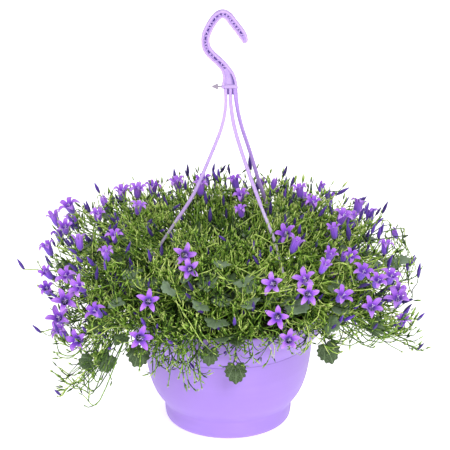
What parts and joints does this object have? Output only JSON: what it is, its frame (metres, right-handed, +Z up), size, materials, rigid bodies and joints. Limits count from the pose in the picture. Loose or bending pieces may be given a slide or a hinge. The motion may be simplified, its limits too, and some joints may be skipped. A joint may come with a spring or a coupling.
{
  "type": "hanging basket plant",
  "caption": "Campanula in a lilac plastic hanging pot with a one-piece hook hanger, its leafy sprays full of violet bell flowers.",
  "frame": {"origin": "centre of the pot's underside", "axes": "+Z up along the pot's axis to the hook, +X to the right and -Y to the front as the picture shows it"},
  "size_m": [0.497, 0.3863, 0.5289],
  "materials": {
    "lilac_plastic": "satin",
    "pale_plastic": "matte",
    "potting_soil": "matte",
    "campanula_green": "matte",
    "campanula_violet": "matte"
  },
  "bodies": {
    "root": {"pot": "lilac_plastic", "hanger": "lilac_plastic", "tag_barb": "pale_plastic", "soil": "potting_soil", "spray_01": "campanula_green", "spray_02": "campanula_green", "spray_03": "campanula_green", "spray_04": "campanula_green", "spray_05": "campanula_green", "spray_06": "campanula_green", "spray_07": "campanula_green", "spray_08": "campanula_green", "spray_09": "campanula_green", "spray_10": "campanula_green", "spray_11": "campanula_green", "spray_12": "campanula_green", "tuft_01": "campanula_green", "tuft_02": "campanula_green", "tuft_03": "campanula_green", "tuft_04": "campanula_green", "tuft_05": "campanula_green", "tuft_06": "campanula_green", "bloom_01": "campanula_violet", "bloom_02": "campanula_violet", "bloom_03": "campanula_violet", "bloom_04": "campanula_violet", "bloom_05": "campanula_violet", "bloom_06": "campanula_violet", "bloom_07": "campanula_violet", "bloom_08": "campanula_violet", "bloom_09": "campanula_violet", "bloom_10": "campanula_violet", "bloom_11": "campanula_violet", "bloom_12": "campanula_violet", "bloom_13": "campanula_violet", "bloom_14": "campanula_violet", "bloom_15": "campanula_violet", "bloom_16": "campanula_violet", "bloom_17": "campanula_violet", "bloom_18": "campanula_violet", "bloom_19": "campanula_violet", "bloom_20": "campanula_violet", "bloom_21": "campanula_violet", "bloom_22": "campanula_violet", "bloom_23": "campanula_violet", "bloom_24": "campanula_violet", "bloom_25": "campanula_violet", "bloom_26": "campanula_violet", "bloom_27": "campanula_violet", "bloom_28": "campanula_violet", "bloom_29": "campanula_violet", "bloom_30": "campanula_violet", "bloom_31": "campanula_violet", "bloom_32": "campanula_violet", "bloom_33": "campanula_violet", "bloom_34": "campanula_violet", "bloom_35": "campanula_violet", "bloom_36": "campanula_violet", "bloom_37": "campanula_violet", "bloom_38": "campanula_violet"}
  },
  "joints": []
}
